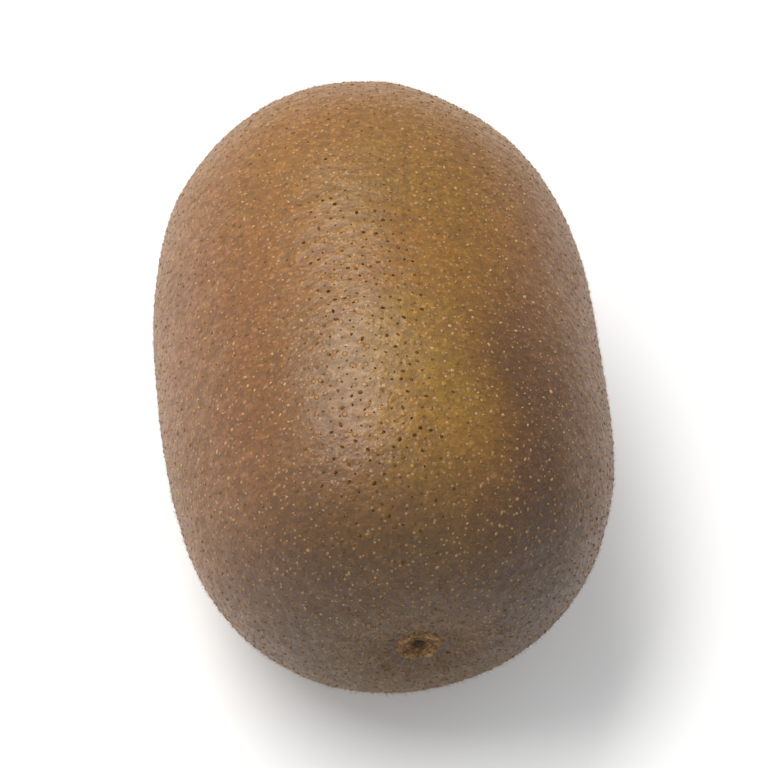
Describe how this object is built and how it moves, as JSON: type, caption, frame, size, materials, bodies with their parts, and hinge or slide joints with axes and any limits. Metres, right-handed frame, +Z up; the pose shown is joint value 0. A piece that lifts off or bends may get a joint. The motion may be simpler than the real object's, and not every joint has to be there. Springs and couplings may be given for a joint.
{
  "type": "golden kiwi fruit",
  "caption": "Whole picked golden kiwi fruit, a blunt oval with bronze skin, lying on its side on a small flat spot, with a corky stalk scar and a tuft of dried styles.",
  "frame": {"origin": "middle of the underside of the fruit's box, on the surface that it rests on", "axes": "+Z up, +Y along the fruit from the stem end to the blossom end, +X across it"},
  "size_m": [0.056, 0.085, 0.054],
  "materials": {
    "skin": "matt bronze-brown fruit skin with fine dots and short fuzz; leather stands in for fruit skin"
  },
  "bodies": {
    "root": {"kiwi_fruit": "skin"}
  },
  "joints": []
}
